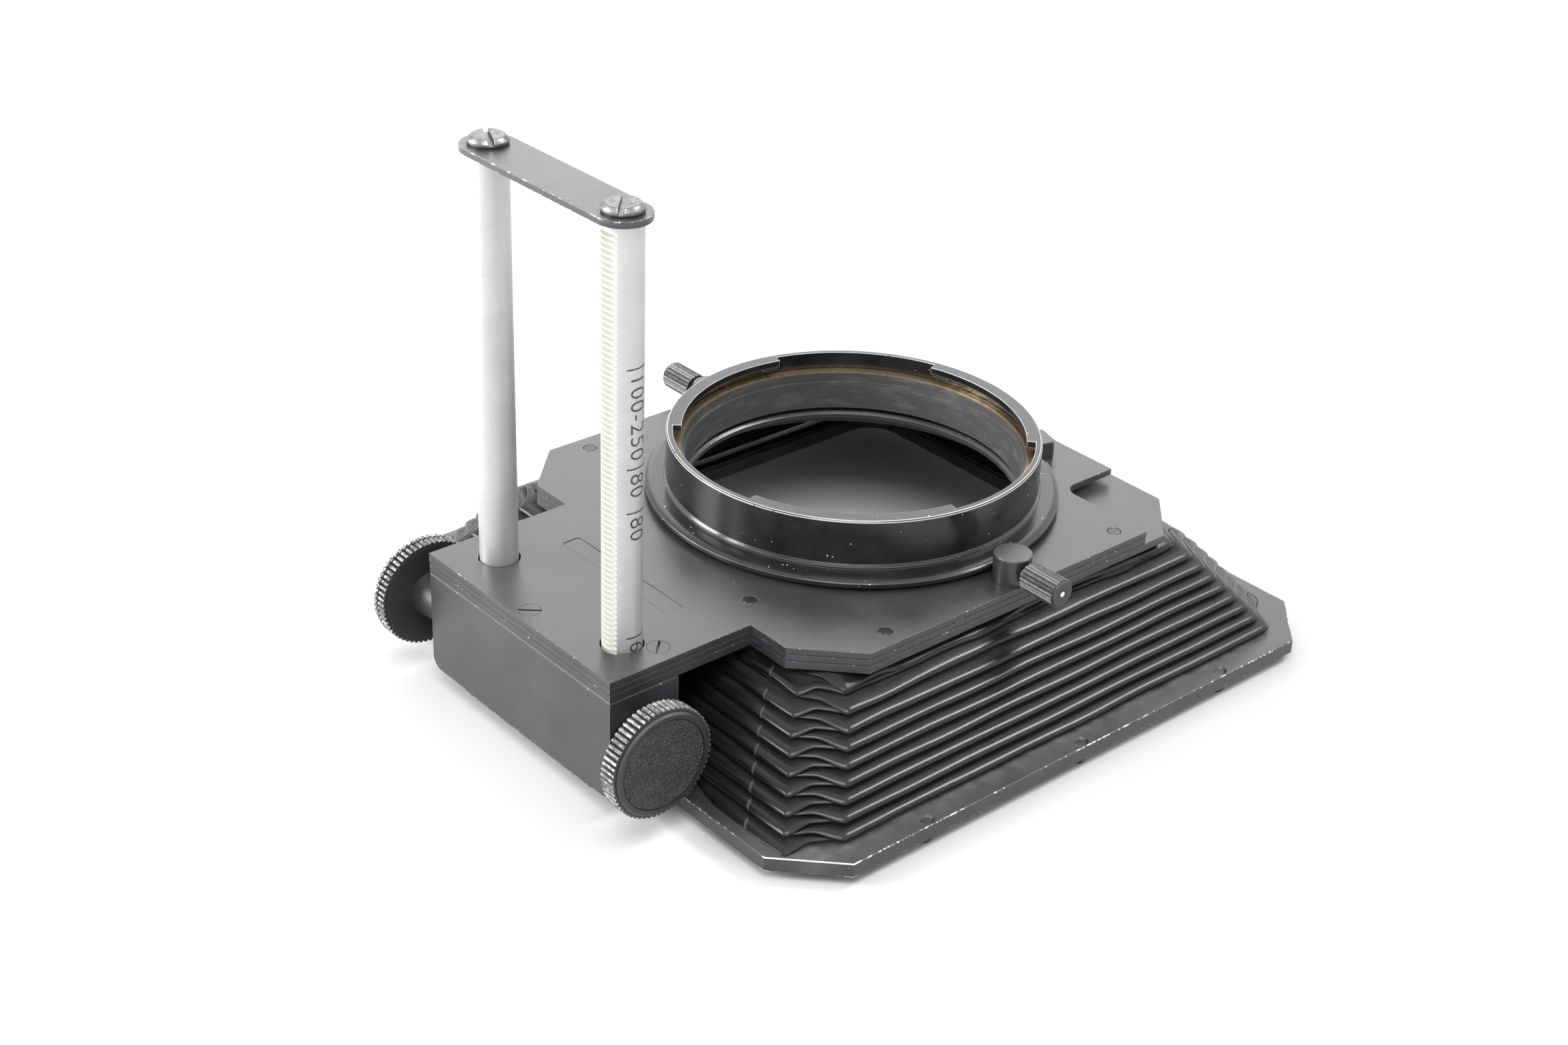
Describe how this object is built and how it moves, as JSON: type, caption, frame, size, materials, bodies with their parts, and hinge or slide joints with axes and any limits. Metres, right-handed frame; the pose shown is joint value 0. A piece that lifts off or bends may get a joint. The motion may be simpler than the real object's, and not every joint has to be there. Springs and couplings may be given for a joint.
{
  "type": "bellows lens shade",
  "caption": "Compendium bellows lens shade: bayonet lens ring, filter slot plates, square front frame, and a rear standard that a rack and pinion drives along twin rods.",
  "frame": {"origin": "on the optical axis, on the bayonet seat of the lens ring, with the rear standard at its lowest position", "axes": "+Z along the optical axis from the front frame towards the lens, +X along the focus shaft towards the right knob, +Y from the rods towards the lens ring"},
  "size_m": [0.1336, 0.1529, 0.1088],
  "materials": {
    "black_enamel": "satin black enamel on aluminium, worn bright along edges",
    "black_anodised": "glossy black anodised",
    "matt_black": "matt anti-reflection black",
    "bellows_skin": "folded semi-gloss rubberised cloth",
    "rod_aluminium": "satin drawn",
    "screw_steel": "satin",
    "inner_steel": "turned",
    "brass": "aged",
    "leatherette": "pebbled",
    "pale_plastic": "matt"
  },
  "bodies": {
    "front": {"front_frame": "black_enamel", "mask_stud_left_1": "screw_steel", "mask_stud_left_2": "screw_steel", "mask_stud_left_3": "screw_steel", "mask_stud_right_1": "screw_steel", "mask_stud_right_2": "screw_steel", "mask_stud_right_3": "screw_steel", "bellows_clamp_front": "black_enamel", "rod_left": "rod_aluminium", "rod_right": "rod_aluminium", "foot_screw_left": "screw_steel", "foot_screw_right": "screw_steel", "rod_bridge": "black_enamel", "bridge_screw_left": "screw_steel", "bridge_screw_right": "screw_steel", "bellows": "bellows_skin"},
    "rear_standard": {"cover_plate": "black_enamel", "slot_spacer": "black_enamel", "base_plate": "black_enamel", "bellows_clamp_rear": "black_enamel", "name_inlay": "black_enamel", "tab_screw_front": "black_enamel", "tab_screw_left": "black_enamel", "tab_screw_right": "black_enamel", "plate_pin_left_1": "black_enamel", "plate_pin_left_2": "black_enamel", "plate_pin_left_3": "black_enamel", "plate_pin_right_1": "black_enamel", "plate_pin_right_2": "black_enamel", "plate_pin_right_3": "black_enamel", "focus_housing": "black_enamel", "housing_base": "black_enamel", "rod_sleeve_left": "inner_steel", "rod_sleeve_right": "inner_steel", "shaft_bush_left": "inner_steel", "shaft_bush_right": "inner_steel", "brake_shoe": "pale_plastic", "brake_spring": "inner_steel", "clamp_post_left": "black_anodised", "clamp_post_right": "black_anodised", "ring_hook_left": "black_anodised", "ring_hook_right": "black_anodised"},
    "lens_mount": {"lens_ring": "black_anodised", "ring_flange": "black_anodised", "ring_sleeve": "matt_black", "ring_spring": "brass"},
    "focus_shaft": {"pinion_shaft": "inner_steel", "pinion": "brass", "focus_knob_left": "black_anodised", "focus_knob_right": "black_anodised", "knob_disc_left": "leatherette", "knob_disc_right": "leatherette"},
    "clamp_left": {"clamp_screw_left": "black_anodised", "clamp_dot_left": "pale_plastic"},
    "clamp_right": {"clamp_screw_right": "black_anodised", "clamp_dot_right": "pale_plastic"}
  },
  "joints": [
    {"name": "standard_slide", "type": "slide", "parent": "front", "child": "rear_standard", "axis": [0, 0, 1], "range_m": [0, 0.072], "deforming": ["bellows"]},
    {"name": "focus_turn", "type": "hinge", "parent": "rear_standard", "child": "focus_shaft", "pos_m": [0, -0.07488, -0.0213], "axis": [-1, 0, 0], "range_deg": [-5, 1960]},
    {"name": "ring_turn", "type": "hinge", "parent": "rear_standard", "child": "lens_mount", "pos_m": [0, 0, 0], "axis": [0, 0, 1], "range_deg": [-180, 180]},
    {"name": "clamp_turn_left", "type": "hinge", "parent": "rear_standard", "child": "clamp_left", "pos_m": [-0.05, 0, -0.0062], "axis": [-1, 0, 0], "range_deg": [0, 1080]},
    {"name": "clamp_turn_right", "type": "hinge", "parent": "rear_standard", "child": "clamp_right", "pos_m": [0.05, 0, -0.0062], "axis": [1, 0, 0], "range_deg": [0, 1080]}
  ],
  "couplings": [
    {"joint": "focus_turn", "follows": "standard_slide", "rad_per_m": 461.54}
  ]
}
